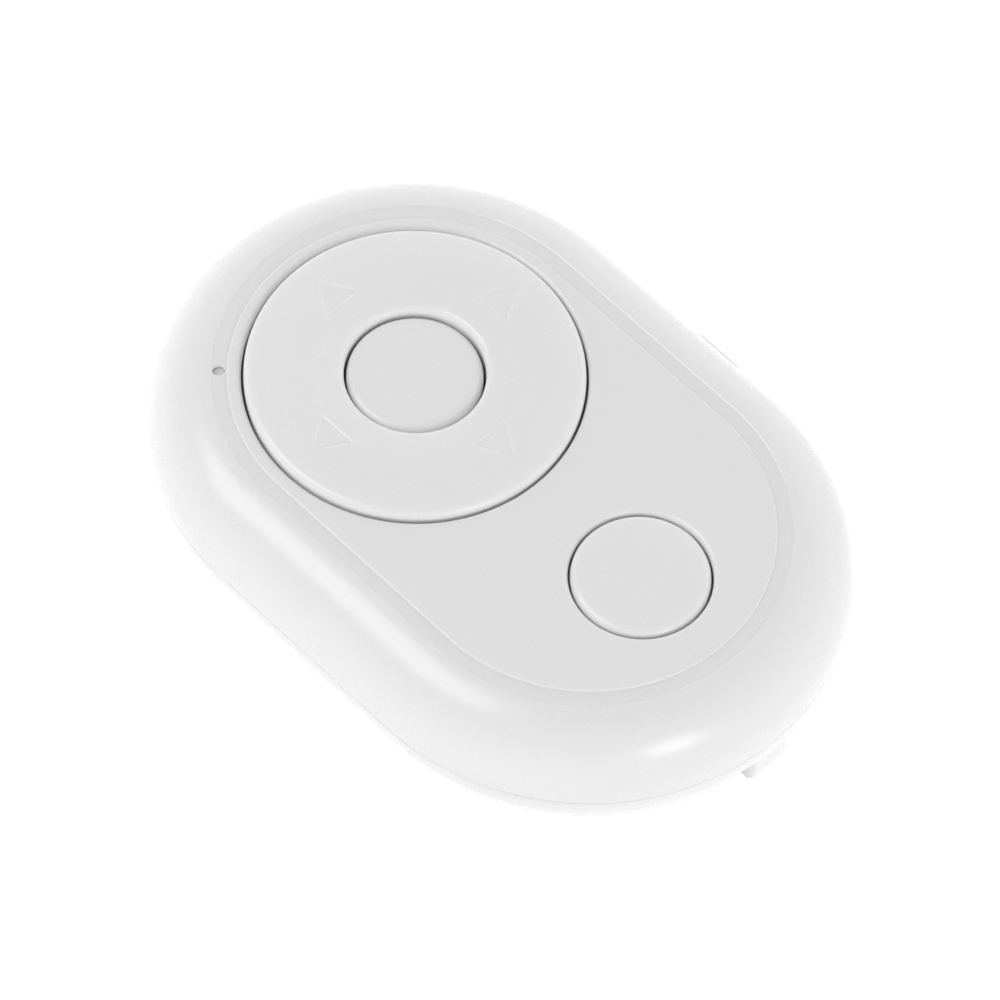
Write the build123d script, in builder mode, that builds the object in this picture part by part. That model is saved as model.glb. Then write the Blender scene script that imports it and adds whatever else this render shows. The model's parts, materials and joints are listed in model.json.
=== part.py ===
"""Bluetooth selfie remote.

A two-part case with rounded ends holds a circuit board and a coin cell. A domed ring pad
rocks round a centre button, a second round button lies below it, and a power switch knob
slides in the side. Millimetres, +Z up, +Y towards the ring pad, origin at the middle of the
underside.
"""

import os
from math import cos, radians, sin, sqrt

from build123d import *

# Case
body_length = 54.7
body_width = 37.7
body_height = 11.2
parting_height = 5.7
side_band = 0.4
side_wall = 1.4
panel_wall = 1.3
floor_wall = 1.2
lip_thickness = 0.6
lip_height = 0.8
lip_gap = 0.05

# Panel in the top face, and the shallow channel round it
rim_width = 4.55
rim_step = 0.95
channel_width = 1.15
channel_depth = 0.15
panel_edge_round = 0.1
hole_edge_round = 0.4

# Ring pad, which rocks both ways
ring_shift = 0.1
ring_margin = 1.05
ring_gap = 0.16
ring_crown = 0.8
ring_outer_rise = 0.35
ring_inner_rise = 0.45
ring_edge_round = 0.8
ring_skin = 1.1
ring_skirt = 1.1
ring_flange_overhang = 0.8
ring_flange_thickness = 0.6
ring_post_radius = 1.5
rock_angle = 1.2
rock_spare = 0.06
arrow_back = 1.06
arrow_length = 2.45
arrow_width = 2.8
arrow_depth = 0.2

# Rocker pad under the ring
pad_thickness = 0.5
pad_inner_gap = 0.12
pad_outer_gap = 0.6
pad_nub_radius = 1.2

# Round buttons
centre_button_radius = 4.8
centre_button_gap = 0.17
centre_button_rise = 0.05
lower_button_radius = 4.87
lower_button_gap = 0.15
lower_button_place = 0.652
lower_button_rise = 0.0
button_crown = 0.3
button_edge_round = 0.55
button_skin = 1.1
button_skirt = 1.0
button_flange_thickness = 0.6
button_flange_overhang = 0.8
button_flange_gap = 0.06
button_stem_radius = 1.2

# Status light
light_hole_radius = 0.43
light_angle = 135.0
light_length = 1.6
light_width = 0.8
light_height = 0.6
light_pipe_gap = 0.04
light_pipe_drop = 0.35

# Circuit board and what is on it
board_edge_gap = 1.8
board_thickness = 0.8
dome_height = 0.35
dome_sheet = 0.1
dome_gap = 0.02
button_dome_radius = 2.5
ring_dome_radius = 2.0
chip_dome_gap = 1.15
chip_post_gap = 0.15
chip_side = 5.0
chip_height = 0.85
crystal_x = 3.2
crystal_length = 3.2
crystal_width = 2.5
crystal_height = 0.8
antenna_span = 10.0
antenna_reach = 3.0
antenna_turns = 5
antenna_trace = 0.5
antenna_thickness = 0.1
antenna_edge_gap = 1.6
passive_length = 1.0
passive_width = 0.5
passive_height = 0.5
passive_pitch = 2.0
capacitor_edge_gap = 3.25
capacitor_y = -9.0
capacitor_count = 4
resistor_edge_gap = 3.45
resistor_y = -12.0
resistor_count = 3

# Coin cell and its contacts
cell_radius = 10.0
cell_height = 3.2
cell_y = 3.0
cell_gap = 0.1
cell_side_gap = 0.3
cell_cap_radius = 8.85
cell_cap_depth = 1.1
cell_rim_drop = 0.3
cell_gasket_gap = 0.15
cell_edge_round = 0.3
contact_space = 0.9
contact_sheet = 0.2
contact_width = 3.0
contact_foot = 2.6
contact_reach = 4.4
contact_tip = 1.2
contact_tip_rise = 0.4
contact_drop = 3.0
contact_touch_gap = 0.03
contact_slot_gap = 0.3
negative_foot_y = -3.6

# Battery cover
cover_radius = 11.5
cover_gap = 0.1
cover_seat_gap = 0.05
cover_inset = 0.1
cover_edge_round = 0.2
cover_ledge_wall = 0.7
pocket_top_drop = 0.1
pry_notch_radius = 1.6
pry_notch_depth = 0.6
grip_length = 8.0
grip_width = 0.9
grip_pitch = 2.2
grip_count = 3
grip_depth = 0.25

# Power switch
knob_y = -2.4
knob_z = 5.9
knob_length = 5.0
knob_height = 1.9
knob_rise = 0.55
knob_round = 0.75
knob_travel = 2.0
window_gap = 0.15
knob_plate_thickness = 0.9
knob_plate_overhang = 0.45
knob_wall_gap = 0.5
switch_length = 7.0
switch_depth = 2.8
switch_height = 1.4
switch_skin = 0.35
switch_edge_gap = 0.2
lever_width = 1.2
lever_height = 0.5
lever_rise = 0.3
lever_grip = 0.5
lever_gap = 0.05
terminal_width = 0.5
terminal_length = 0.9
terminal_thickness = 0.2
terminal_pitch = 2.5
terminal_count = 3

# Lanyard lug in the tail
lug_width = 3.6
lug_inset = 0.3
lug_bottom = 1.6
lug_top = 4.8
lug_depth = 3.0
lug_round = 0.5
strap_hole_radius = 0.75
strap_hole_inset = 1.7
strap_hole_z = 3.1
scoop_radius = 1.5
scoop_inset = 1.0
scoop_reach = 3.0
scoop_round = 1.2
lug_block_wall = 1.0
lug_block_top = 5.2

# Screws, posts and board supports
case_post_gap = 0.4
tail_screw_angle = 45.0
top_post_radius = 1.8
bottom_post_radius = 2.4
screw_radius = 0.7
screw_head_radius = 1.4
screw_drive_radius = 0.6
screw_drive_depth = 0.5
screw_hole_gap = 0.03
screw_recess_gap = 0.2
screw_end_gap = 0.3
case_screw_seat = 2.2
case_screw_head = 1.0
case_screw_length = 6.2
board_screw_angle = 58.35
board_post_gap = 2.0
board_screw_head = 0.7
board_screw_length = 3.2
board_post_radius = 1.6
board_notch_gap = 0.3
pillar_radius = 1.2
pillar_edge_gap = 2.05
pillar_y = 8.0

# Plan sizes and places that follow
end_centre_y = (body_length - body_width) / 2
panel_half_width = body_width / 2 - rim_width - channel_width
channel_middle = panel_half_width + channel_width / 2
light_x = channel_middle * cos(radians(light_angle))
light_y = end_centre_y + channel_middle * sin(radians(light_angle))
light_pipe_radius = light_hole_radius - light_pipe_gap
ring_centre_y = end_centre_y + ring_shift
ring_hole_radius = panel_half_width - ring_margin
ring_radius = ring_hole_radius - ring_gap
ring_flange_radius = ring_hole_radius + ring_flange_overhang
ring_inner_radius = centre_button_radius + centre_button_gap
ring_skirt_radius = ring_inner_radius + ring_skirt
ring_switch_radius = (ring_radius + ring_inner_radius) / 2
arrow_base_radius = ring_switch_radius - arrow_back
ring_domes_end_y = ring_centre_y - ring_switch_radius - ring_dome_radius
chip_row_y = ring_domes_end_y - chip_dome_gap - chip_side / 2
pad_inner_radius = ring_skirt_radius + pad_inner_gap
pad_outer_radius = ring_radius - ring_skirt - pad_outer_gap
lower_hole_radius = lower_button_radius + lower_button_gap
panel_below_ring = ring_centre_y - ring_hole_radius + end_centre_y + panel_half_width
space_above_button = lower_button_place * (panel_below_ring - 2 * lower_hole_radius)
lower_button_y = ring_centre_y - ring_hole_radius - space_above_button - lower_hole_radius
cavity_half_width = body_width / 2 - side_wall
board_inset = side_wall + board_edge_gap
board_half_width = body_width / 2 - board_inset
antenna_y = antenna_edge_gap - end_centre_y - board_half_width
capacitor_x = capacitor_edge_gap - board_half_width
resistor_x = board_half_width - resistor_edge_gap
pillar_x = board_half_width - pillar_edge_gap
case_screw_circle = ring_shift + ring_flange_radius + case_post_gap + top_post_radius
tail_screw_x = case_screw_circle * cos(radians(tail_screw_angle))
tail_screw_y = -end_centre_y - case_screw_circle * sin(radians(tail_screw_angle))
board_screw_circle = ring_flange_radius + board_post_gap + board_post_radius
board_screw_x = board_screw_circle * cos(radians(board_screw_angle))
board_screw_y = ring_centre_y - board_screw_circle * sin(radians(board_screw_angle))
chip_x = board_post_radius + chip_post_gap + chip_side / 2 - board_screw_x
cover_hole_radius = cover_radius + cover_gap
pocket_radius = cell_radius + cell_side_gap
contact_y = cell_y + cell_radius + contact_touch_gap + contact_sheet / 2
touch_y = negative_foot_y + contact_foot + contact_reach
window_y = knob_y + knob_travel / 2
window_length = knob_length + knob_travel + 2 * window_gap
plate_length = knob_length + 2 * knob_plate_overhang
knob_tip_x = body_width / 2 + knob_rise
plate_outer_x = cavity_half_width - knob_wall_gap
plate_inner_x = plate_outer_x - knob_plate_thickness
switch_front_x = board_half_width - switch_edge_gap
switch_back_x = switch_front_x - switch_depth
strap_y = strap_hole_inset - body_length / 2
lug_tip_y = lug_inset - body_length / 2
lug_block_depth = strap_hole_inset + strap_hole_radius + lug_block_wall
scoop_y = scoop_inset - body_length / 2
scoop_length = lug_width + 2 * scoop_reach

# Heights that follow
top_round = min(rim_width + rim_step, body_height - parting_height)
bottom_round = parting_height - side_band
panel_underside = body_height - panel_wall
cell_bottom = floor_wall + cell_gap
cell_top = cell_bottom + cell_height
pocket_top = cell_top - pocket_top_drop
board_bottom = cell_top + contact_space
board_top = board_bottom + board_thickness
foot_z = board_bottom - contact_sheet / 2
touch_z = cell_top + contact_touch_gap + contact_sheet / 2
dome_top = board_top + dome_height
stem_bottom = dome_top + dome_gap
rock_slope = sin(radians(rock_angle))
corner_slope = rock_slope * sqrt(2)
ring_flange_top = panel_underside - ring_flange_radius * corner_slope - rock_spare
ring_bottom = ring_flange_top - ring_flange_thickness
ring_underside = body_height + ring_outer_rise - ring_skin
pad_top = ring_bottom - (ring_switch_radius + ring_post_radius) * rock_slope - rock_spare
pad_bottom = pad_top - pad_thickness
nub_bottom = dome_top + (ring_switch_radius + pad_nub_radius) * rock_slope + rock_spare
centre_flange_top = ring_bottom - ring_skirt_radius * corner_slope - rock_spare
lower_flange_top = panel_underside - button_flange_gap
plate_height = knob_height + 2 * knob_plate_overhang
lever_z = board_top + lever_rise + lever_height / 2
light_pipe_top = body_height - channel_depth - light_pipe_drop
case_pilot_top = case_screw_seat + case_screw_length + screw_end_gap
board_pilot_top = board_bottom + board_screw_length + screw_end_gap

# Places of what repeats
case_screw_places = [
    (0, end_centre_y + case_screw_circle),
    (tail_screw_x, tail_screw_y),
    (-tail_screw_x, tail_screw_y),
]
board_screw_places = [(board_screw_x, board_screw_y), (-board_screw_x, board_screw_y)]
pillar_places = [(x, y) for x in (-pillar_x, pillar_x) for y in (-pillar_y, pillar_y)]
ring_switch_places = [
    (0, ring_centre_y + ring_switch_radius),
    (0, ring_centre_y - ring_switch_radius),
    (ring_switch_radius, ring_centre_y),
    (-ring_switch_radius, ring_centre_y),
]
capacitor_places = [(capacitor_x, capacitor_y + n * passive_pitch) for n in range(capacitor_count)]
resistor_places = [(resistor_x, resistor_y + n * passive_pitch) for n in range(resistor_count)]


def outline(inset, mode=Mode.ADD):
    """The case's outline with its round ends, moved inwards by inset."""
    SlotOverall(body_length - 2 * inset, body_width - 2 * inset, rotation=90, mode=mode)


def section_at(centre_y):
    """The upright plane through a round part's axis, with x to the right and y up."""
    return Plane(origin=(0, centre_y, 0), x_dir=(1, 0, 0), z_dir=(0, -1, 0))


def axis_at(centre_y):
    """The upright axis of a round part."""
    return Axis((0, centre_y, 0), (0, 0, 1))


def rims(part):
    """A part's full circular edges, the lowest first."""
    circles = part.edges().filter_by(GeomType.CIRCLE)
    return circles.filter_by(lambda edge: edge.is_closed).sort_by(Axis.Z)


def rounded_form(inset, low, high):
    """The case's rounded form, moved inwards by inset, between two heights."""
    with BuildPart() as form:
        with BuildSketch(Plane.XY.offset(low)):
            outline(inset)
        extrude(amount=high - low)
        fillet(form.faces().sort_by(Axis.Z)[-1].edges(), top_round - inset)
        fillet(form.faces().sort_by(Axis.Z)[0].edges(), bottom_round - inset)
    return form.part


def snap_domes(radius, places):
    """Thin metal domes on the circuit board, one at each place."""
    ball_radius = (radius**2 + dome_height**2) / (2 * dome_height)
    with BuildPart() as domes:
        with Locations([(x, y, dome_top - ball_radius) for x, y in places]):
            Sphere(ball_radius)
            Sphere(ball_radius - dome_sheet, mode=Mode.SUBTRACT)
        split(bisect_by=Plane.XY.offset(board_top), keep=Keep.TOP)
    return domes.part


def round_button(radius, flange_radius, flange_top, rise, centre_y):
    """A domed button with a retaining flange and a stem that meets its snap dome."""
    edge_z = body_height + rise
    skin_z = edge_z - button_skin
    flange_bottom = flange_top - button_flange_thickness
    with BuildPart() as button:
        with BuildSketch(section_at(centre_y)):
            with BuildLine():
                Polyline(
                    (0, edge_z + button_crown),
                    (0, stem_bottom),
                    (button_stem_radius, stem_bottom),
                    (button_stem_radius, skin_z),
                    (radius - button_skirt, skin_z),
                    (radius - button_skirt, flange_bottom),
                    (flange_radius, flange_bottom),
                    (flange_radius, flange_top),
                    (radius, flange_top),
                    (radius, edge_z),
                )
                TangentArc((0, edge_z + button_crown), (radius, edge_z), tangent=(1, 0))
            make_face()
        revolve(axis=axis_at(centre_y))
        fillet(rims(button)[-1], button_edge_round)
    return button.part


def screws(places, seat_z, head_height, length):
    """Screws that point up from their heads, one at each place."""
    with BuildPart() as group:
        with BuildSketch(Plane.XY.offset(seat_z)):
            with Locations(places):
                Circle(screw_radius)
        extrude(amount=length)
        with BuildSketch(Plane.XY.offset(seat_z - head_height)):
            with Locations(places):
                Circle(screw_head_radius)
        extrude(amount=head_height)
        with BuildSketch(Plane.XY.offset(seat_z - head_height)):
            with Locations(places):
                RegularPolygon(screw_drive_radius, 6)
        extrude(amount=screw_drive_depth, mode=Mode.SUBTRACT)
    return group.part


def blocks(places, length, width, height):
    """Plain chips standing on the circuit board, one at each place."""
    with BuildPart() as group:
        with BuildSketch(Plane.XY.offset(board_top)):
            with Locations(places):
                Rectangle(length, width)
        extrude(amount=height)
    return group.part


def hand_over(part, name):
    """Labels a finished piece and writes it."""
    part.label = name
    export_step(part, f"parts/{name}.step")


os.makedirs("parts", exist_ok=True)
parting = Plane.XY.offset(parting_height)
case_form = rounded_form(0, 0, body_height)
inner_form = rounded_form(side_wall, floor_wall, panel_underside)

# Window of the power switch, cut half in each shell
with BuildPart() as switch_window:
    with BuildSketch(Plane.YZ.offset(plate_outer_x)):
        with Locations((window_y, knob_z)):
            SlotOverall(window_length, knob_height + 2 * window_gap)
    extrude(amount=body_width / 2)

# Top shell. The room inside it leaves the screw posts standing.
with BuildPart() as top_room:
    add(inner_form)
    split(bisect_by=parting, keep=Keep.TOP)
    with BuildSketch(parting):
        with Locations(case_screw_places):
            Circle(top_post_radius)
    extrude(amount=body_height, mode=Mode.SUBTRACT)
    with BuildSketch(Plane.XY.offset(board_top)):
        with Locations(board_screw_places):
            Circle(board_post_radius)
    extrude(amount=body_height, mode=Mode.SUBTRACT)

with BuildPart() as top_shell:
    add(case_form)
    split(bisect_by=parting, keep=Keep.TOP)
    with BuildSketch(Plane.XY.offset(body_height)):
        outline(rim_width)
        outline(rim_width + channel_width, mode=Mode.SUBTRACT)
    extrude(amount=-channel_depth, mode=Mode.SUBTRACT)
    fillet(top_shell.faces().sort_by(Axis.Z)[-1].edges(), panel_edge_round)
    add(top_room.part, mode=Mode.SUBTRACT)
    with BuildSketch(parting):
        outline(side_wall - lip_thickness - lip_gap)
        outline(side_wall, mode=Mode.SUBTRACT)
    extrude(amount=lip_height + lip_gap, mode=Mode.SUBTRACT)
    with BuildSketch(Plane.XY.offset(body_height)):
        with Locations((0, ring_centre_y)):
            Circle(ring_hole_radius)
        with Locations((0, lower_button_y)):
            Circle(lower_hole_radius)
        with Locations((light_x, light_y)):
            Circle(light_hole_radius)
    extrude(amount=-2 * panel_wall, mode=Mode.SUBTRACT)
    hole_edges = top_shell.faces().sort_by(Axis.Z)[-1].inner_wires()
    fillet([edge for wire in hole_edges for edge in wire.edges()], hole_edge_round)
    with BuildSketch(parting):
        with Locations(case_screw_places):
            Circle(screw_radius + screw_hole_gap)
    extrude(amount=case_pilot_top - parting_height, mode=Mode.SUBTRACT)
    with BuildSketch(Plane.XY.offset(board_top)):
        with Locations(board_screw_places):
            Circle(screw_radius + screw_hole_gap)
    extrude(amount=board_pilot_top - board_top, mode=Mode.SUBTRACT)
    add(switch_window.part, mode=Mode.SUBTRACT)

# Bottom shell. Its room leaves the posts, board pillars, cell pocket and lug block standing.
with BuildPart() as bottom_room:
    add(inner_form)
    split(bisect_by=parting, keep=Keep.BOTTOM)
    with BuildSketch():
        with Locations(case_screw_places):
            Circle(bottom_post_radius)
    extrude(amount=parting_height, mode=Mode.SUBTRACT)
    with BuildSketch():
        with Locations(pillar_places):
            Circle(pillar_radius)
    extrude(amount=board_bottom, mode=Mode.SUBTRACT)
    with BuildSketch():
        with Locations((0, cell_y)):
            Circle(cover_hole_radius + cover_ledge_wall)
            Circle(pocket_radius, mode=Mode.SUBTRACT)
    extrude(amount=pocket_top, mode=Mode.SUBTRACT)
    with BuildSketch():
        with Locations((0, -body_length / 2)):
            Rectangle(scoop_length + 2 * lug_block_wall, 2 * lug_block_depth)
    extrude(amount=lug_block_top, mode=Mode.SUBTRACT)

with BuildPart() as strap_scoop:
    with Locations((0, scoop_y, strap_hole_z)):
        Cylinder(scoop_radius, scoop_length, rotation=(0, 90, 0))
    fillet(strap_scoop.edges().filter_by(GeomType.CIRCLE), scoop_round)

with BuildPart() as lug:
    with Locations((0, lug_tip_y, lug_bottom)):
        Box(lug_width, lug_depth, lug_top - lug_bottom, align=(Align.CENTER, Align.MIN, Align.MIN))
    fillet(lug.faces().sort_by(Axis.Y)[0].edges(), lug_round)

with BuildPart() as bottom_shell:
    add(case_form)
    split(bisect_by=parting, keep=Keep.BOTTOM)
    add(bottom_room.part, mode=Mode.SUBTRACT)
    with BuildSketch(parting):
        outline(side_wall - lip_thickness)
        outline(side_wall, mode=Mode.SUBTRACT)
    extrude(amount=lip_height)
    add(switch_window.part, mode=Mode.SUBTRACT)
    with BuildSketch():
        with Locations((0, cell_y)):
            Circle(cover_hole_radius)
    extrude(amount=floor_wall, mode=Mode.SUBTRACT)
    with BuildSketch(Plane.XY.offset(pocket_top)):
        with Locations((0, contact_y)):
            Rectangle(contact_width + 2 * contact_slot_gap, contact_sheet + 2 * contact_slot_gap)
    extrude(
        amount=board_bottom - contact_drop - contact_slot_gap - pocket_top, mode=Mode.SUBTRACT
    )
    with BuildSketch():
        with Locations(case_screw_places):
            Circle(screw_head_radius + screw_recess_gap)
    extrude(amount=case_screw_seat, mode=Mode.SUBTRACT)
    with BuildSketch():
        with Locations(case_screw_places):
            Circle(screw_radius + screw_recess_gap)
    extrude(amount=parting_height, mode=Mode.SUBTRACT)
    add(strap_scoop.part, mode=Mode.SUBTRACT)
    add(lug.part)
    with Locations((0, strap_y, strap_hole_z)):
        Cylinder(strap_hole_radius, scoop_length, rotation=(0, 90, 0), mode=Mode.SUBTRACT)

# Battery cover, with grip grooves and a notch to lift it by
with BuildPart() as battery_cover:
    with BuildSketch(Plane.XY.offset(cover_inset)):
        with Locations((0, cell_y)):
            Circle(cover_radius)
    extrude(amount=floor_wall - cover_seat_gap - cover_inset)
    fillet(battery_cover.faces().sort_by(Axis.Z)[0].edges(), cover_edge_round)
    with BuildSketch(Plane.XY.offset(cover_inset)):
        with Locations((0, cell_y)):
            with GridLocations(0, grip_pitch, 1, grip_count):
                SlotOverall(grip_length, grip_width)
    extrude(amount=grip_depth, mode=Mode.SUBTRACT)
    with BuildSketch(Plane.XY.offset(cover_inset)):
        with Locations((0, cell_y - cover_radius)):
            Circle(pry_notch_radius)
    extrude(amount=pry_notch_depth, mode=Mode.SUBTRACT)

# Ring pad: a domed ring with two skirts, a retaining flange, four posts and four arrow heads
crown_z = body_height + ring_crown
with BuildPart() as ring_pad:
    with BuildSketch(section_at(ring_centre_y)):
        with BuildLine():
            Polyline(
                (ring_inner_radius, body_height + ring_inner_rise),
                (ring_inner_radius, ring_bottom),
                (ring_skirt_radius, ring_bottom),
                (ring_skirt_radius, ring_underside),
                (ring_radius - ring_skirt, ring_underside),
                (ring_radius - ring_skirt, ring_bottom),
                (ring_flange_radius, ring_bottom),
                (ring_flange_radius, ring_flange_top),
                (ring_radius, ring_flange_top),
                (ring_radius, body_height + ring_outer_rise),
            )
            ThreePointArc(
                (ring_radius, body_height + ring_outer_rise),
                (ring_switch_radius, crown_z),
                (ring_inner_radius, body_height + ring_inner_rise),
            )
        make_face()
    revolve(axis=axis_at(ring_centre_y))
    fillet(rims(ring_pad)[-2:], ring_edge_round)
    with BuildSketch(Plane.XY.offset(ring_bottom)):
        with Locations(ring_switch_places):
            Circle(ring_post_radius)
    extrude(amount=ring_underside - ring_bottom)
    with BuildSketch(Plane.XY.offset(crown_z - arrow_depth)):
        with Locations((0, ring_centre_y)):
            with PolarLocations(0, 4):
                Polygon(
                    (arrow_base_radius, -arrow_width / 2),
                    (arrow_base_radius + arrow_length, 0),
                    (arrow_base_radius, arrow_width / 2),
                    align=None,
                )
    extrude(amount=2 * arrow_depth, mode=Mode.SUBTRACT)

# Silicone rocker pad, whose nubs press the ring's four snap domes
with BuildPart() as rocker_pad:
    with BuildSketch(Plane.XY.offset(pad_bottom)):
        with Locations((0, ring_centre_y)):
            Circle(pad_outer_radius)
            Circle(pad_inner_radius, mode=Mode.SUBTRACT)
    extrude(amount=pad_thickness)
    with BuildSketch(Plane.XY.offset(nub_bottom)):
        with Locations(ring_switch_places):
            Circle(pad_nub_radius)
    extrude(amount=pad_bottom - nub_bottom)

# Circuit board
with BuildPart() as circuit_board:
    with BuildSketch(Plane.XY.offset(board_bottom)):
        outline(board_inset)
        with Locations(case_screw_places):
            Circle(bottom_post_radius + board_notch_gap, mode=Mode.SUBTRACT)
        with Locations(board_screw_places):
            Circle(screw_radius + screw_recess_gap, mode=Mode.SUBTRACT)
    extrude(amount=board_thickness)

# Antenna, a folded trace along the tail of the circuit board
antenna_points = []
for column in range(2 * antenna_turns):
    x = antenna_span * (column / (2 * antenna_turns - 1) - 1 / 2)
    ends = [(x, antenna_y), (x, antenna_y + antenna_reach)]
    antenna_points += ends if column % 2 == 0 else ends[::-1]
with BuildPart() as antenna:
    with BuildSketch(Plane.XY.offset(board_top)):
        with BuildLine():
            Polyline(*antenna_points)
        trace(line_width=antenna_trace)
    extrude(amount=antenna_thickness)

# Status light, with a clear pipe up into its hole
with BuildPart() as status_light:
    with BuildSketch(Plane.XY.offset(board_top)):
        with Locations((light_x, light_y)):
            Rectangle(light_length, light_width)
    extrude(amount=light_height)
    with BuildSketch(Plane.XY.offset(board_top)):
        with Locations((light_x, light_y)):
            Circle(light_pipe_radius)
    extrude(amount=light_pipe_top - board_top)

# Coin cell: the positive can, and the negative cap set in its top
with BuildPart() as coin_cell_can:
    with BuildSketch(Plane.XY.offset(cell_bottom)):
        with Locations((0, cell_y)):
            Circle(cell_radius)
    extrude(amount=cell_height - cell_rim_drop)
    fillet(coin_cell_can.faces().sort_by(Axis.Z)[0].edges(), cell_edge_round)
    with BuildSketch(Plane.XY.offset(cell_top - cell_cap_depth)):
        with Locations((0, cell_y)):
            Circle(cell_cap_radius + cell_gasket_gap)
    extrude(amount=cell_cap_depth, mode=Mode.SUBTRACT)

with BuildPart() as coin_cell_cap:
    with BuildSketch(Plane.XY.offset(cell_top - cell_cap_depth)):
        with Locations((0, cell_y)):
            Circle(cell_cap_radius)
    extrude(amount=cell_cap_depth)

# Sheet metal contacts under the circuit board
with BuildPart() as negative_contact:
    with BuildSketch(Plane.YZ):
        with BuildLine():
            Polyline(
                (negative_foot_y, foot_z),
                (negative_foot_y + contact_foot, foot_z),
                (touch_y, touch_z),
                (touch_y + contact_tip, touch_z + contact_tip_rise),
            )
        trace(line_width=contact_sheet)
    extrude(amount=contact_width / 2, both=True)

with BuildPart() as positive_contact:
    with BuildSketch(Plane.YZ):
        with BuildLine():
            Polyline(
                (contact_y + contact_foot, foot_z),
                (contact_y, foot_z),
                (contact_y, board_bottom - contact_drop),
            )
        trace(line_width=contact_sheet)
    extrude(amount=contact_width / 2, both=True)

# Power switch knob: a crowned thumb piece in the window, on a plate inside the wall
with BuildPart() as power_knob:
    with BuildSketch(Plane.YZ.offset(plate_outer_x)):
        with Locations((knob_y, knob_z)):
            SlotOverall(knob_length, knob_height)
    extrude(amount=knob_tip_x - plate_outer_x)
    fillet(power_knob.faces().sort_by(Axis.X)[-1].edges(), knob_round)
    with BuildSketch(Plane.YZ.offset(plate_inner_x)):
        with Locations((knob_y, knob_z)):
            SlotOverall(plate_length, plate_height)
    extrude(amount=knob_plate_thickness)
    with BuildSketch(Plane.YZ.offset(plate_inner_x)):
        with Locations((knob_y, lever_z)):
            Rectangle(lever_width + 2 * lever_gap, lever_height + 2 * lever_gap)
    extrude(amount=lever_grip + lever_gap, mode=Mode.SUBTRACT)

# Slide switch on the circuit board
with BuildPart() as switch_housing:
    with Locations((switch_front_x, window_y, board_top)):
        Box(switch_depth, switch_length, switch_height, align=(Align.MAX, Align.CENTER, Align.MIN))
    with Locations((switch_front_x, window_y, lever_z)):
        Box(
            switch_depth - switch_skin,
            lever_width + knob_travel + 2 * lever_gap,
            lever_height + 2 * lever_gap,
            align=(Align.MAX, Align.CENTER, Align.CENTER),
            mode=Mode.SUBTRACT,
        )

with BuildPart() as switch_lever:
    with BuildSketch(Plane.YZ.offset(switch_back_x + switch_skin + lever_gap)):
        with Locations((knob_y, lever_z)):
            Rectangle(lever_width, lever_height)
    extrude(amount=plate_inner_x + lever_grip - switch_back_x - switch_skin - lever_gap)

with BuildPart() as switch_terminals:
    with BuildSketch(Plane.XY.offset(board_top)):
        with Locations((switch_back_x - terminal_length / 2, window_y)):
            with GridLocations(0, terminal_pitch, 1, terminal_count):
                Rectangle(terminal_length, terminal_width)
    extrude(amount=terminal_thickness)

# Buttons, domes, chips and screws that share a form
centre_button = round_button(
    centre_button_radius,
    ring_inner_radius + button_flange_overhang,
    centre_flange_top,
    centre_button_rise,
    ring_centre_y,
)
lower_button = round_button(
    lower_button_radius,
    lower_hole_radius + button_flange_overhang,
    lower_flange_top,
    lower_button_rise,
    lower_button_y,
)

hand_over(top_shell.part, "top_shell")
hand_over(bottom_shell.part, "bottom_shell")
hand_over(battery_cover.part, "battery_cover")
hand_over(ring_pad.part, "ring_pad")
hand_over(rocker_pad.part, "rocker_pad")
hand_over(centre_button, "centre_button")
hand_over(lower_button, "lower_button")
hand_over(power_knob.part, "power_knob")
hand_over(circuit_board.part, "circuit_board")
hand_over(antenna.part, "antenna")
hand_over(blocks([(chip_x, chip_row_y)], chip_side, chip_side, chip_height), "bluetooth_chip")
hand_over(
    blocks([(crystal_x, chip_row_y)], crystal_length, crystal_width, crystal_height), "crystal"
)
hand_over(status_light.part, "status_light")
hand_over(blocks(capacitor_places, passive_length, passive_width, passive_height), "capacitors")
hand_over(blocks(resistor_places, passive_length, passive_width, passive_height), "resistors")
hand_over(snap_domes(button_dome_radius, [(0, ring_centre_y)]), "centre_dome")
hand_over(snap_domes(button_dome_radius, [(0, lower_button_y)]), "lower_dome")
hand_over(snap_domes(ring_dome_radius, ring_switch_places), "ring_domes")
hand_over(switch_housing.part, "switch_housing")
hand_over(switch_lever.part, "switch_lever")
hand_over(switch_terminals.part, "switch_terminals")
hand_over(coin_cell_can.part, "coin_cell_can")
hand_over(coin_cell_cap.part, "coin_cell_cap")
hand_over(positive_contact.part, "positive_contact")
hand_over(negative_contact.part, "negative_contact")
hand_over(
    screws(case_screw_places, case_screw_seat, case_screw_head, case_screw_length), "case_screws"
)
hand_over(
    screws(board_screw_places, board_bottom, board_screw_head, board_screw_length), "board_screws"
)
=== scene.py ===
import json
from math import acos, asin, cos, degrees, pi, radians, sin, sqrt

import bmesh
import bpy
from bpy.props import FloatProperty, FloatVectorProperty, IntProperty, PointerProperty
from mathutils import Matrix, Vector


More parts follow.
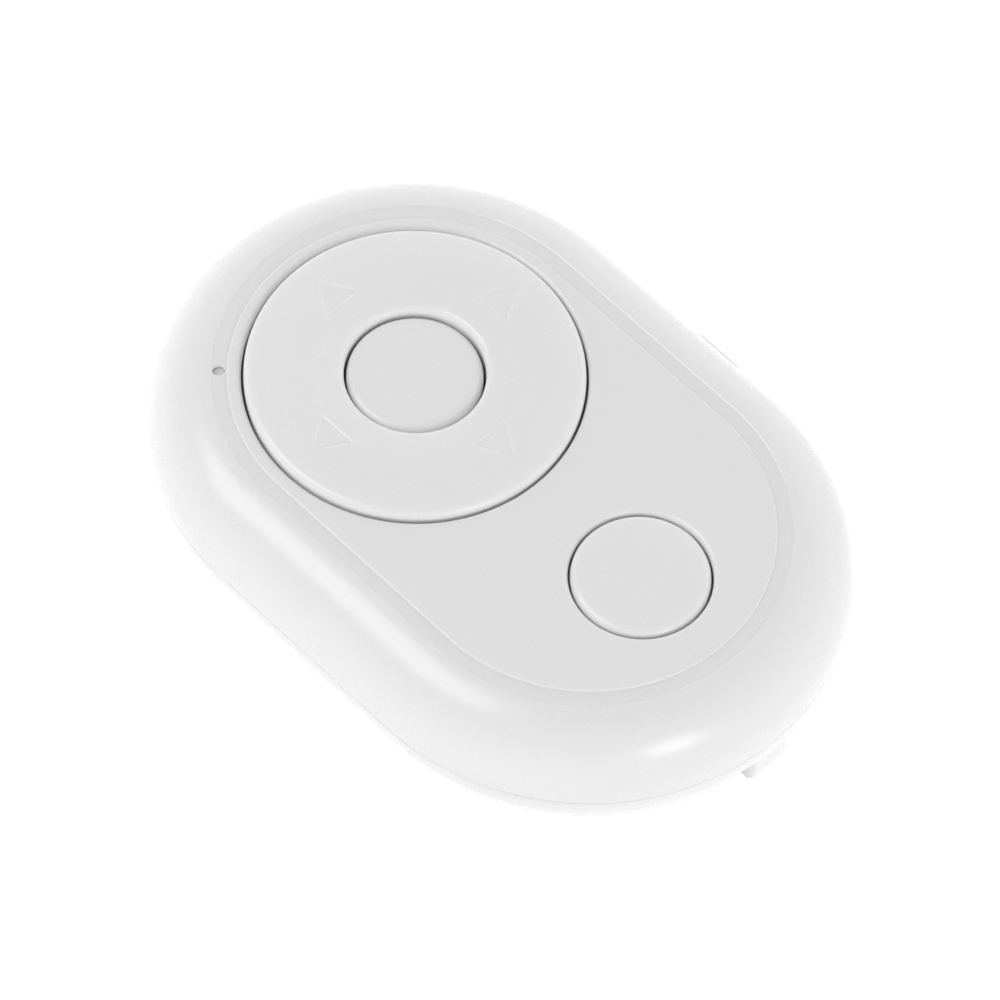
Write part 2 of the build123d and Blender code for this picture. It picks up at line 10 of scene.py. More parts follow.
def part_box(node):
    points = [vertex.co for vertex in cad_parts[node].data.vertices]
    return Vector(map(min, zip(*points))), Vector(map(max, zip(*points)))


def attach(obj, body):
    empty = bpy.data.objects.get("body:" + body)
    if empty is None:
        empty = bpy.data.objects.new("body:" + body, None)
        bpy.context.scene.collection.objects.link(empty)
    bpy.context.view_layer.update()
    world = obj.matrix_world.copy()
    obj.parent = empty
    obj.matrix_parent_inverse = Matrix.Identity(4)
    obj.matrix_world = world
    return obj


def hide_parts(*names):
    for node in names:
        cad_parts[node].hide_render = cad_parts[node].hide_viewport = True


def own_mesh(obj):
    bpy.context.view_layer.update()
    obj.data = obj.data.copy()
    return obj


bl_info = {
    "name": "Selfie remote",
    "version": (1, 0, 0),
    "blender": (4, 5, 0),
    "location": "View3D > Sidebar > Remote",
    "description": "Models the case, ring, buttons, switch and battery lid of a small remote",
    "category": "Object",
}

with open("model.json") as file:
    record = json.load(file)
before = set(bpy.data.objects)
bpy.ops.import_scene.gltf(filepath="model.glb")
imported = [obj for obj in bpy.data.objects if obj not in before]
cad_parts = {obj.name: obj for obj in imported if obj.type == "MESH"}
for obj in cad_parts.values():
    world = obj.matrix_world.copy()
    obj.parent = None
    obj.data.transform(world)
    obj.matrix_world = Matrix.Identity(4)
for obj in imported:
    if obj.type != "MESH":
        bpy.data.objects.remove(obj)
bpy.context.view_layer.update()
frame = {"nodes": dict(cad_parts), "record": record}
MM = 0.001
NEAR = 0.002 * MM  # vertices closer than this are at the same place
OVER = 1 * MM  # how far a cutter reaches past the face that it cuts
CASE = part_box("top_shell")
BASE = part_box("bottom_shell")
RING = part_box("ring_pad")
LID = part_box("battery_cover")
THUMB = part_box("power_knob")
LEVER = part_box("switch_lever")
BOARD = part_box("circuit_board")
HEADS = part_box("case_screws")
BOARD_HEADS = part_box("board_screws")
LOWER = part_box("lower_button")
RING_Y = (RING[0].y + RING[1].y) / 2
LOWER_Y = (LOWER[0].y + LOWER[1].y) / 2
LID_Y = (LID[0].y + LID[1].y) / 2
END_Y = CASE[1].y - CASE[1].x
TAIL_Y = BASE[0].y
BLEND_STEPS = 12  # faces over the rise from the channel to the rim
RIM_END = 0.8  # angle at which the rim's curve meets the parting edge, in degrees
FLARE_END = 96  # angle at which a hole's rounded edge has run out of the face, in degrees
FLARE_REACH = 1.3  # reach of a hole's cutter over the face, in roundings of its edge
# Half the section of a grip groove, in shares of its half width and of its depth
GROOVE_SECTION = ((1.3, -1), (1, 0), (0.9, 0.8), (0.75, 1))
CLOUD_SCALE = 90  # fineness of the uneven tone of every finish
GRAIN_LOW, GRAIN_HIGH = 0.3, 0.7  # levels that the grain's noise mostly lies between
GLOSS_SPREAD = 0.06  # how much every finish's roughness differs over its grain
LEAST_ROUGHNESS = 0.02
FLOOR_SIZE = 6  # metres
SENSOR_WIDTH = 36  # width of the camera's sensor in millimetres

# Finishes of the record's slots, apart from the white plastics
INNER_FINISHES = {
    "grey_silicone": dict(
        colour=(0.35, 0.36, 0.37), roughness=0.7, grain=0.3 * MM, height=0.01 * MM),
    "green_board": dict(
        colour=(0.02, 0.16, 0.07), roughness=0.35, grain=0.5 * MM, height=0.012 * MM, tone=0.25),
    "gold_trace": dict(
        colour=(0.83, 0.62, 0.28), roughness=0.25, grain=0.2 * MM, height=0.003 * MM, metallic=1),
    "black_plastic": dict(
        colour=(0.03, 0.03, 0.032), roughness=0.5, grain=0.15 * MM, height=0.006 * MM, tone=0.1),
    "bright_steel": dict(
        colour=(0.66, 0.66, 0.67), roughness=0.26, grain=0.6 * MM, height=0.004 * MM, metallic=1,
        stretch=(1, 12, 12)),
    "tan_ceramic": dict(
        colour=(0.55, 0.42, 0.28), roughness=0.55, grain=0.12 * MM, height=0.006 * MM, tone=0.08),
    "clear_lens": dict(
        colour=(0.75, 0.76, 0.74), roughness=0.12, grain=0.3 * MM, height=0.002 * MM),
}


def length(name, description, size):
    """A length that the user can change, with its default in millimetres."""
    return FloatProperty(
        name=name, description=description, default=size * MM, unit="LENGTH", precision=5)


class CaseSizes(bpy.types.PropertyGroup):
    """Sizes of the two case shells"""

    wall: length("Wall", "Thickness of the side wall", 1.4)
    top_wall: length("Top wall", "Thickness of the panel that holds the buttons", 1.3)
    floor_wall: length("Floor wall", "Thickness of the underside", 1.2)
    panel_radius: length("Panel radius", "Radius of the flat panel's round ends", 13.15)
    panel_edge: length("Panel edge", "Rounding of the panel's edge", 0.1)
    channel_width: length("Channel width", "Width of the shallow channel round the panel", 1.15)
    channel_depth: length("Channel depth", "Depth of the channel below the panel", 0.15)
    crease: length("Crease", "Rounding of the channel's corner under the panel", 0.05)
    blend: length("Blend", "Width over which the channel's floor rises to the rim", 0.16)
    # Painted shade: how far the case colour is darkened in the channel round the panel, where the
    # panel's step shades it
    channel_shade: FloatProperty(
        name="Channel tone", description="Brightness of the smoother finish in the channel",
        default=0.984, min=0.5, max=1, subtype="FACTOR")
    band: length("Side band", "Height of the upright band below the parting line", 0.4)
    lip: length("Lip", "Thickness of the lip that stands up inside the top shell", 0.6)
    lip_gap: length("Lip gap", "Gap between the lip and the top shell", 0.05)
    parting_round: length("Parting edge", "Rounding of both edges at the parting line", 0.07)
    hole_round: length("Hole edge", "Rounding of the button holes' upper edges", 0.4)
    ring_hole: length("Ring hole", "Radius of the hole for the direction ring", 12.1)
    lower_hole: length("Lower hole", "Radius of the hole for the lower button", 5.02)
    light_hole: length("Light hole", "Radius of the hole over the status light", 0.43)
    light_edge: length("Light hole edge", "Rounding of the edge of the status light's hole", 0.04)
    steps: IntProperty(
        name="Steps", description="Faces round the case's two ends together",
        default=180, min=16)


class InnerSizes(bpy.types.PropertyGroup):
    """Sizes of the posts, pockets and holes inside the case"""

    top_post: length("Top post", "Radius of the case screws' posts in the top shell", 1.8)
    board_post: length("Board post", "Radius of the circuit board's posts", 1.6)
    low_post: length("Low post", "Radius of the case screws' posts in the bottom shell", 2.4)
    pilot: length("Pilot hole", "Radius of the screws' pilot holes", 0.73)
    case_pilot_top: length("Case pilot top", "Height at which the case screws' holes end", 8.7)
    board_pilot_top: length("Board pilot top", "Height at which the board screws' holes end", 8.9)
    pillar: length("Pillar", "Radius of the pillars under the circuit board", 1.2)
    pillar_inset: length(
        "Pillar inset", "Distance of the pillars from the board's long edges", 2.05)
    pillar_y: length("Pillar place", "Distance of the pillars from the middle, along the case", 8.0)
    pocket: length("Cell pocket", "Radius of the pocket for the coin cell", 10.3)
    pocket_wall: length("Pocket wall", "Outer radius of the wall round the coin cell", 12.3)
    pocket_top: length("Pocket top", "Height of the wall round the coin cell", 4.4)
    lid_gap: length("Lid gap", "Gap round the battery lid", 0.1)
    head_hole: length("Head recess", "Radius of the recesses for the screw heads", 1.6)
    screw_way: length("Screw way", "Radius of the screws' holes in the bottom shell", 0.9)


class LugSizes(bpy.types.PropertyGroup):
    """Sizes of the strap lug in the tail"""

    width: length("Width", "Width of the lug", 3.6)
    low: length("Bottom", "Height of the lug's lower face", 1.6)
    high: length("Top", "Height of the lug's upper face", 4.8)
    inset: length("Inset", "Distance of the lug's tip inside the case's outline", 0.3)
    depth: length("Depth", "How far the lug reaches into the case", 3.0)
    edge: length("Edge", "Rounding of the lug's outer edges", 0.5)
    hole: length("Strap hole", "Radius of the hole for the strap", 0.75)
    hole_inset: length("Hole inset", "Distance of the strap hole inside the case's outline", 1.7)
    hole_z: length("Hole height", "Height of the strap hole and the scoop", 3.1)
    scoop: length("Scoop", "Radius of the scoop on both sides of the lug", 1.5)
    scoop_inset: length("Scoop inset", "Distance of the scoop's axis inside the outline", 1.0)
    scoop_length: length("Scoop length", "Length of the scoop over both sides", 9.6)
    scoop_end: length("Scoop ends", "Rounding of the scoop's two ends", 1.2)
    block: length("Block width", "Width of the solid block behind the scoop", 11.6)
    block_depth: length("Block depth", "How far the block reaches into the case", 3.45)
    block_top: length("Block top", "Height of the block", 5.2)


class ButtonSizes(bpy.types.PropertyGroup):
    """Sizes of the direction ring and the round buttons"""

    ring_radius: length("Ring radius", "Outer radius of the direction ring", 11.94)
    ring_bore: length("Ring bore", "Radius of the hole in the direction ring", 4.97)
    ring_outer_rise: length("Outer rise", "Height of the ring's outer edge over the panel", 0.35)
    ring_inner_rise: length("Inner rise", "Height of the ring's inner edge over the panel", 0.45)
    ring_round: length("Ring edge", "Rounding of the ring's outer edge", 0.6)
    bore_round: length("Bore edge", "Rounding of the ring's inner edge", 0.6)
    ring_post: length("Ring post", "Radius of the four posts under the ring", 1.5)
    flange: length("Flange", "Thickness of the flanges that hold the buttons in", 0.6)
    centre_drop: length(
        "Centre flange drop",
        "Height between the ring's lower edge and the centre button's flange", 0.24)
    lower_drop: length(
        "Lower flange drop", "Gap between the top shell and the lower button's flange", 0.06)
    arrow_side: length("Arrow side", "Length of each side of the arrow heads", 2.8)
    arrow_tip: length("Arrow tip", "Distance of the arrow tips from the ring's axis", 9.85)
    arrow_depth: length("Arrow depth", "Depth of the arrow heads below the ring's crown", 0.08)
    arrow_slope: FloatProperty(
        name="Arrow slope", description="How much wider the arrow heads are a little higher up",
        default=1.75, min=1)
    centre_radius: length("Centre button", "Radius of the button in the ring", 4.8)
    lower_radius: length("Lower button", "Radius of the button below the ring", 4.87)
    crown: length("Button crown", "How far the buttons rise towards their middles", 0.3)
    edge: length("Button edge", "Rounding of the buttons' edges", 0.55)
    skin: length("Button wall", "Thickness of the ring's and the buttons' walls", 1.1)
    skirt: length("Button skirt", "Thickness of the round buttons' side walls", 1.0)
    stem: length("Stem", "Radius of the stem under each round button", 1.2)
    stem_edge: length("Stem edge", "Bevel of the stem's lower end", 0.1)
    dome_sheet: length("Dome sheet", "Thickness of the snap domes' sheet", 0.1)
    dome_keep: FloatProperty(
        name="Dome keep", description="Share of a snap dome's height that is left when pressed",
        default=0.3, min=0.1, max=1, subtype="FACTOR")
    steps: IntProperty(
        name="Steps", description="Faces round the ring and the buttons", default=256, min=16)


class SwitchSizes(bpy.types.PropertyGroup):
    """Sizes of the power switch's thumb piece and its window"""

    half_height: length("Half height", "Half the height of the thumb piece", 0.95)
    half_length: length("Half length", "Half the length of the thumb piece", 2.5)
    tip: length("Tip", "Rounding of the thumb piece's edge", 0.75)
    travel: length("Travel", "How far the thumb piece slides", 2.0)
    window_gap: length("Window gap", "Gap between the thumb piece and the window", 0.15)
    plate: length("Plate", "Thickness of the plate inside the wall", 0.9)
    plate_reach: length("Plate reach", "How far the plate reaches past the thumb piece", 0.45)
    plate_edge: length("Plate edge", "Bevel of the plate's inner edge", 0.04)
    lever_gap: length("Lever gap", "Gap round the switch's lever", 0.05)


class LidSizes(bpy.types.PropertyGroup):
    """Sizes of the battery lid"""

    edge: length("Edge", "Rounding of the lid's lower edge", 0.2)
    inner_edge: length("Inner edge", "Bevel of the lid's upper edge", 0.06)
    groove_width: length("Groove width", "Width of each grip groove", 0.9)
    groove_length: length("Groove length", "Length of each grip groove", 8.0)
    groove_pitch: length("Groove pitch", "Distance between the grip grooves", 2.2)
    groove_depth: length("Groove depth", "Depth of the grip grooves", 0.25)
    notch: length("Notch", "Radius of the notch to lift the lid by", 1.6)
    notch_depth: length("Notch depth", "Depth of the notch", 0.6)


class ScrewSizes(bpy.types.PropertyGroup):
    """Sizes of the case screws"""

    shank: length("Shank", "Radius of the shank", 0.7)
    point: length("Point", "Length of the tapered point", 0.3)
    head: length("Head", "Radius of the head", 1.4)
    seat: length("Seat", "Height of the face that the head seats on", 2.2)
    edge: length("Edge", "Rounding of the head's outer edge", 0.2)
    drive: length("Drive", "Radius of the six-sided drive", 0.6)
    drive_depth: length("Drive depth", "Depth of the six-sided drive", 0.5)


class Finishes(bpy.types.PropertyGroup):
    """Colours and grain of the plastics"""

    case_colour: FloatVectorProperty(
        name="Case", description="Colour of the white case",
        default=(0.80, 0.80, 0.80), subtype="COLOR", min=0, max=1)
    button_colour: FloatVectorProperty(
        name="Buttons", description="Colour of the white buttons",
        default=(0.81, 0.81, 0.81), subtype="COLOR", min=0, max=1)
    gloss: FloatProperty(
        name="Roughness", description="How matt the white plastic is",
        default=0.23, min=0, max=1, subtype="FACTOR")
    grain: length("Grain", "Distance across one grain of the moulded surface", 0.16)
    grain_height: length("Grain height", "Height of the moulded grain", 0.0035)
    milky: FloatProperty(
        name="Milky", description="How much light passes under the white plastic's skin",
        default=0.4, min=0, max=1, subtype="FACTOR")
    milky_reach: length("Milky reach", "How far light spreads under the white plastic's skin", 0.5)


class StageLook(bpy.types.PropertyGroup):
    """The floor, the studio light and where the camera stands"""

    floor_colour: FloatVectorProperty(
        name="Floor", description="Colour of the floor",
        default=(0.94, 0.94, 0.94), subtype="COLOR", min=0, max=1)
    floor_glow: FloatProperty(
        name="Floor glow", description="How much paler the floor looks to the camera",
        default=0.5, min=0, max=1, subtype="FACTOR")
    floor_gleam: FloatProperty(
        name="Floor gleam", description="How much paler the floor looks in reflections",
        default=0.7, min=0, max=1, subtype="FACTOR")
    overhead: FloatProperty(
        name="Overhead", description="Strength of the soft light from straight above",
        default=0.1, min=0, max=3)
    horizon: FloatProperty(
        name="Horizon", description="How much stronger the soft light is near the horizon",
        default=1.49, min=0, max=3)
    lean: FloatVectorProperty(
        name="Lean", description="Which side the soft light is stronger on, and how much",
        default=(0.27, -0.06, 0.0), subtype="DIRECTION")
    key_from: FloatVectorProperty(
        name="Key from", description="Where the long soft lamp hangs",
        default=(-0.257, 0.2165, 0.4957), subtype="TRANSLATION")
    key_along: FloatVectorProperty(
        name="Key along", description="Which way the long soft lamp stretches",
        default=(0.06, -0.63, 0.33), subtype="DIRECTION")
    key_size: FloatVectorProperty(
        name="Key size", description="Width and length of the long soft lamp",
        default=(0.277, 0.44), size=2, subtype="TRANSLATION")
    key_power: FloatProperty(
        name="Key power", description="Power of the long soft lamp", default=1.38, min=0)
    low_from: FloatVectorProperty(
        name="Low lamp from", description="Where the small low lamp stands",
        default=(-0.108, -0.54, 0.24), subtype="TRANSLATION")
    low_size: FloatProperty(
        name="Low size", description="Width of the small low lamp", default=0.17, min=0.01)
    low_power: FloatProperty(
        name="Low power", description="Power of the small low lamp", default=0.53, min=0)
    azimuth: FloatProperty(
        name="Azimuth", description="Turn of the camera round the remote",
        default=radians(-46.563), subtype="ANGLE")
    elevation: FloatProperty(
        name="Elevation", description="Height of the camera over the horizon",
        default=radians(57.875), subtype="ANGLE")
    roll: FloatProperty(
        name="Roll", description="Turn of the camera about its own axis",
        default=radians(2.983), subtype="ANGLE")
    distance: length("Distance", "Distance of the camera from what it looks at", 567.08)
    aim: FloatVectorProperty(
        name="Aim", description="The point that the camera looks at",
        default=(-0.7295 * MM, -0.8486 * MM, 6.4884 * MM), subtype="TRANSLATION")
    lens: FloatProperty(
        name="Lens", description="Focal length of the camera's lens in millimetres",
        default=293.436)


def alone(piece):
    """Selects one piece and nothing else."""
    bpy.ops.object.select_all(action="DESELECT")
    piece.select_set(True)
    bpy.context.view_layer.objects.active = piece


def settled(piece):
    """Applies a piece's place, turn and size to its mesh."""
    alone(piece)
    bpy.ops.object.transform_apply(location=True, rotation=True, scale=True)
    return piece


def moved(piece, place):
    """Moves a piece to its place and settles it there."""
    alone(piece)
    bpy.ops.transform.translate(value=place)
    return settled(piece)


def pick(piece, wanted):
    """Selects the vertices of the piece in edit mode that the test wants."""
    mesh = bmesh.from_edit_mesh(piece.data)
    for vertex in mesh.verts:
        vertex.select_set(wanted(vertex))
    mesh.select_flush_mode()
    bmesh.update_edit_mesh(piece.data)


def arc(r, z, radius, start, end, steps):
    """Points of a profile round an arc, from one angle to another, in degrees."""
    angles = [radians(start + (end - start) * n / steps) for n in range(steps + 1)]
    return [(r + radius * cos(angle), z + radius * sin(angle)) for angle in angles]


def turned(name, profile, steps):
    """Draws half a section point by point, spins it about the Z axis and closes its ends."""
    lean = pi / steps
    bpy.ops.object.select_all(action="DESELECT")
    bpy.ops.mesh.primitive_plane_add(size=MM, location=(0, 0, 0))
    piece = bpy.context.active_object
    piece.name = piece.data.name = name
    bpy.ops.object.mode_set(mode="EDIT")
    bpy.ops.mesh.merge(type="CENTER")
    here = Vector((0, 0, 0))
    for number, (r, z) in enumerate(profile):
        there = Vector((r * cos(lean), r * sin(lean), z))
        if number:
            bpy.ops.mesh.extrude_vertices_move(TRANSFORM_OT_translate={"value": there - here})
        else:
            bpy.ops.transform.translate(value=there - here)
        here = there
    bpy.ops.mesh.select_all(action="SELECT")
    bpy.ops.mesh.spin(steps=steps, angle=2 * pi, center=(0, 0, 0), axis=(0, 0, 1))
    bpy.ops.mesh.select_all(action="SELECT")
    bpy.ops.mesh.remove_doubles(threshold=NEAR / 4)
    for r, z in (profile[0], profile[-1]):
        if r > 0 and profile[0] != profile[-1]:
            pick(piece, lambda vertex: vertex.is_boundary and abs(vertex.co.z - z) < NEAR)
            bpy.ops.mesh.edge_face_add()
    bpy.ops.mesh.select_all(action="SELECT")
    bpy.ops.mesh.normals_make_consistent(inside=False)
    bpy.ops.object.mode_set(mode="OBJECT")
    return piece


def drawn_apart(piece, reach):
    """Moves the two halves of a round piece apart along Y, so that it gets straight sides."""
    alone(piece)
    bpy.ops.object.mode_set(mode="EDIT")
    for side in (-1, 1):
        pick(piece, lambda vertex: vertex.co.y * side > 0)
        bpy.ops.transform.translate(value=(0, side * reach, 0))
    bpy.ops.object.mode_set(mode="OBJECT")
    return piece


def together(pieces):
    """Joins several pieces that lie apart into one object."""
    bpy.ops.object.select_all(action="DESELECT")
    for piece in pieces:
        piece.select_set(True)
    bpy.context.view_layer.objects.active = pieces[0]
    bpy.ops.object.join()
    return settled(pieces[0])


def rods(places, radius, low, high, sides=48):
    """Upright round bars, one at each place."""
    made = []
    for x, y in places:
        bpy.ops.mesh.primitive_cylinder_add(
            vertices=sides, radius=radius, depth=high - low, location=(x, y, (low + high) / 2))
        made.append(bpy.context.active_object)
    return together(made)


def cross_bar(radius, length, y, z, sides=64):
    """A round bar that lies along X."""
    bpy.ops.object.select_all(action="DESELECT")
    bpy.ops.mesh.primitive_cylinder_add(
        vertices=sides, radius=radius, depth=length, rotation=(0, pi / 2, 0), location=(0, y, z))
    return settled(bpy.context.active_object)


def block(low, high):
    """A plain block between two corners, to cut or build with."""
    low, high = Vector(low), Vector(high)
    bpy.ops.object.select_all(action="DESELECT")
    bpy.ops.mesh.primitive_cube_add(size=1, location=(low + high) / 2, scale=high - low)
    return settled(bpy.context.active_object)


def combined(piece, other, operation):
    """Cuts a piece with another one, or unites the two, and removes the other."""
    alone(piece)
    bpy.ops.object.modifier_add(type="BOOLEAN")
    modifier = piece.modifiers[-1]
    modifier.operation = operation
    modifier.solver = "EXACT"
    modifier.object = other
    bpy.ops.object.modifier_apply(modifier=modifier.name)
    bpy.data.meshes.remove(other.data)
    if not piece.data.polygons:
        raise RuntimeError(f"nothing is left of {piece.name}")
    return piece


def cut(piece, other):
    """Cuts a piece with another one."""
    return combined(piece, other, "DIFFERENCE")


def united(piece, other):
    """Makes one piece of two that overlap."""
    return combined(piece, other, "UNION")


def dressed(piece, body, node, slot, angle=32):
    """Smooths a finished piece, gives it its finish, ties it to its body and hides the node that it
    stands in for.
    """
    alone(piece)
    bpy.ops.object.shade_smooth_by_angle(angle=radians(angle))
    bpy.ops.object.modifier_add(type="WEIGHTED_NORMAL")
    piece.modifiers[-1].keep_sharp = True
    bpy.ops.object.modifier_apply(modifier=piece.modifiers[-1].name)
    piece.data.materials.clear()
    piece.data.materials.append(finish_for(slot))
    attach(piece, body)
    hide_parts(node)


def hole_cutter(radius, low, face, flare, steps):
    """A round cutter that leaves a rounded upper edge at a face."""
    profile = [(radius, low), (radius, face - flare)]
    profile += arc(radius + flare, face - flare, flare, 180, FLARE_END, steps=8)[1:]
    profile += [(radius + FLARE_REACH * flare, face + flare)]
    return turned("hole", profile, steps)


def domed_edge(radius, edge_z, rise, edge_round, peak_r=0.0, steps=14):
    """A crowned face's profile from its peak outwards, and round its edge to the side."""
    span = radius - peak_r
    side = 1 if span > 0 else -1
    ball = (span**2 + rise**2) / (2 * rise)
    centre_z = edge_z + rise - ball
    round_r = radius - side * edge_round
    out = abs(round_r - peak_r)
    round_z = centre_z + sqrt((ball - edge_round) ** 2 - out**2)
    lean = degrees(asin(out / (ball - edge_round)))
    crown = arc(peak_r, centre_z, ball, 90, 90 - side * lean, steps)
    corner = arc(round_r, round_z, edge_round, 90 - side * lean, 90 - side * 90, steps=10)
    return crown + corner[1:]


def maths(tree, operation, *terms, clamp=False):
    """Adds one step of arithmetic to a node tree, on sockets or numbers, and gives its result."""
    node = tree.nodes.new("ShaderNodeMath")
    node.operation, node.use_clamp = operation, clamp
    for term, socket in zip(terms, node.inputs):
        if isinstance(term, bpy.types.NodeSocket):
            tree.links.new(term, socket)
        else:
            socket.default_value = term
    return node.outputs["Value"]


def noise(tree, vector, scale, detail):
    """Adds a noise to a node tree and gives its level."""
    node = tree.nodes.new("ShaderNodeTexNoise")
    node.inputs["Scale"].default_value = scale
    node.inputs["Detail"].default_value = detail
    tree.links.new(vector, node.inputs["Vector"])
    return node.outputs["Fac"]


def new_material(name):
    """An empty node material with its shader."""
    material = bpy.data.materials.new(name)
    material.use_nodes = True
    nodes = material.node_tree.nodes
    return material, nodes, material.node_tree.links, nodes["Principled BSDF"]


def grained(
        name, colour, roughness, grain, height, metallic=0.0, stretch=(1, 1, 1), tone=0.02,
        milky=0.0):
    """A surface with an uneven tone and gloss and a fine grain that catches the light."""
    material, nodes, links, shader = new_material(name)
    shader.inputs["Metallic"].default_value = metallic
    shader.inputs["Subsurface Weight"].default_value = milky
    shader.inputs["Subsurface Radius"].default_value = (1, 1, 1)
    shader.inputs["Subsurface Scale"].default_value = bpy.context.scene.remote_finishes.milky_reach
    place = nodes.new("ShaderNodeTexCoord")
    turn = nodes.new("ShaderNodeMapping")
    turn.inputs["Scale"].default_value = stretch
    links.new(place.outputs["Object"], turn.inputs["Vector"])

    clouds = noise(material.node_tree, turn.outputs["Vector"], CLOUD_SCALE, detail=3)
    tint = nodes.new("ShaderNodeMix")
    tint.data_type = "RGBA"
    tint.inputs["A"].default_value = (*[part * (1 - tone) for part in colour], 1)
    tint.inputs["B"].default_value = (*[min(part * (1 + tone), 1) for part in colour], 1)
    links.new(clouds, tint.inputs["Factor"])
    links.new(tint.outputs["Result"], shader.inputs["Base Color"])

    fine = noise(material.node_tree, turn.outputs["Vector"], 1 / grain, detail=2)
    gloss = nodes.new("ShaderNodeMapRange")
    gloss.inputs["From Min"].default_value = GRAIN_LOW
    gloss.inputs["From Max"].default_value = GRAIN_HIGH
    gloss.inputs["To Min"].default_value = max(roughness - GLOSS_SPREAD, LEAST_ROUGHNESS)
    gloss.inputs["To Max"].default_value = roughness + GLOSS_SPREAD
    links.new(fine, gloss.inputs["Value"])
    links.new(gloss.outputs["Result"], shader.inputs["Roughness"])
    bump = nodes.new("ShaderNodeBump")
    bump.inputs["Distance"].default_value = height
    links.new(fine, bump.inputs["Height"])
    links.new(bump.outputs["Normal"], shader.inputs["Normal"])
    return material


def with_channel_shade(material, case):
    """Paints shade into a finish: darkens its colour a little in the channel round the panel."""
    tree = material.node_tree
    nodes, links = tree.nodes, tree.links
    place = nodes.new("ShaderNodeTexCoord")
    parts = nodes.new("ShaderNodeSeparateXYZ")
    links.new(place.outputs["Object"], parts.inputs["Vector"])
    along = maths(tree, "ABSOLUTE", parts.outputs["Y"])
    flat = nodes.new("ShaderNodeCombineXYZ")
    links.new(parts.outputs["X"], flat.inputs["X"])
    links.new(maths(tree, "SUBTRACT", along, END_Y, clamp=True), flat.inputs["Y"])
    radius = nodes.new("ShaderNodeVectorMath")
    radius.operation = "LENGTH"
    links.new(flat.outputs["Vector"], radius.inputs[0])
    half = case.channel_width / 2
    # Mask of the painted shade: the channel's band round the panel, near the top of the case
    band = maths(tree, "COMPARE", radius.outputs["Value"], case.panel_radius + half, half)
    upper = maths(tree, "GREATER_THAN", parts.outputs["Z"], CASE[1].z - 2 * case.channel_depth)
    # Multiplies the colour down in that band, as painted shade
    tint = nodes.new("ShaderNodeMix")
    tint.data_type = "RGBA"
    tint.blend_type = "MULTIPLY"
    tint.inputs["B"].default_value = (*[case.channel_shade] * 3, 1)
    colour = nodes["Principled BSDF"].inputs["Base Color"]
    links.new(maths(tree, "MULTIPLY", band, upper), tint.inputs["Factor"])
    links.new(colour.links[0].from_socket, tint.inputs["A"])
    links.new(tint.outputs["Result"], colour)
    return material


def finish_for(slot):
    """The material of one of the record's slots, made once."""
    name = f"finish_{slot}"
    ready = bpy.data.materials.get(name)
    if ready:
        return ready
    if slot in INNER_FINISHES:
        return grained(name, **INNER_FINISHES[slot])
    look = bpy.context.scene.remote_finishes
    colours = {"white_case_plastic": look.case_colour, "white_button_plastic": look.button_colour}
    material = grained(
        name, colours[slot], look.gloss, look.grain, look.grain_height, tone=0.008,
        milky=look.milky)
    # The case plastic gets painted shade in its channel
    if slot == "white_case_plastic":
        return with_channel_shade(material, bpy.context.scene.remote_case)
    return material


def case_post_places(scene):
    """Where the three case screws stand."""
    head = scene.remote_screws.head
    side, low = HEADS[1].x - head, HEADS[0].y + head
    return [(0, HEADS[1].y - head), (side, low), (-side, low)]


def board_post_places(scene):
    """Where the two board screws stand."""
    side = BOARD_HEADS[1].x - scene.remote_screws.head
    y = (BOARD_HEADS[0].y + BOARD_HEADS[1].y) / 2
    return [(side, y), (-side, y)]


def window(scene):
    """The switch's window, a round-ended slot through the side."""
    switch = scene.remote_switch
    radius = switch.half_height + switch.window_gap
    profile = [(radius, THUMB[0].x + switch.plate), (radius, CASE[1].x + OVER)]
    slot = turned("window", profile, steps=48)
    drawn_apart(slot, switch.half_length - switch.half_height + switch.travel / 2)
    slot.rotation_euler = (0, pi / 2, 0)
    mid_y = (THUMB[0].y + THUMB[1].y + switch.travel) / 2
    return moved(slot, (0, mid_y, (THUMB[0].z + THUMB[1].z) / 2))


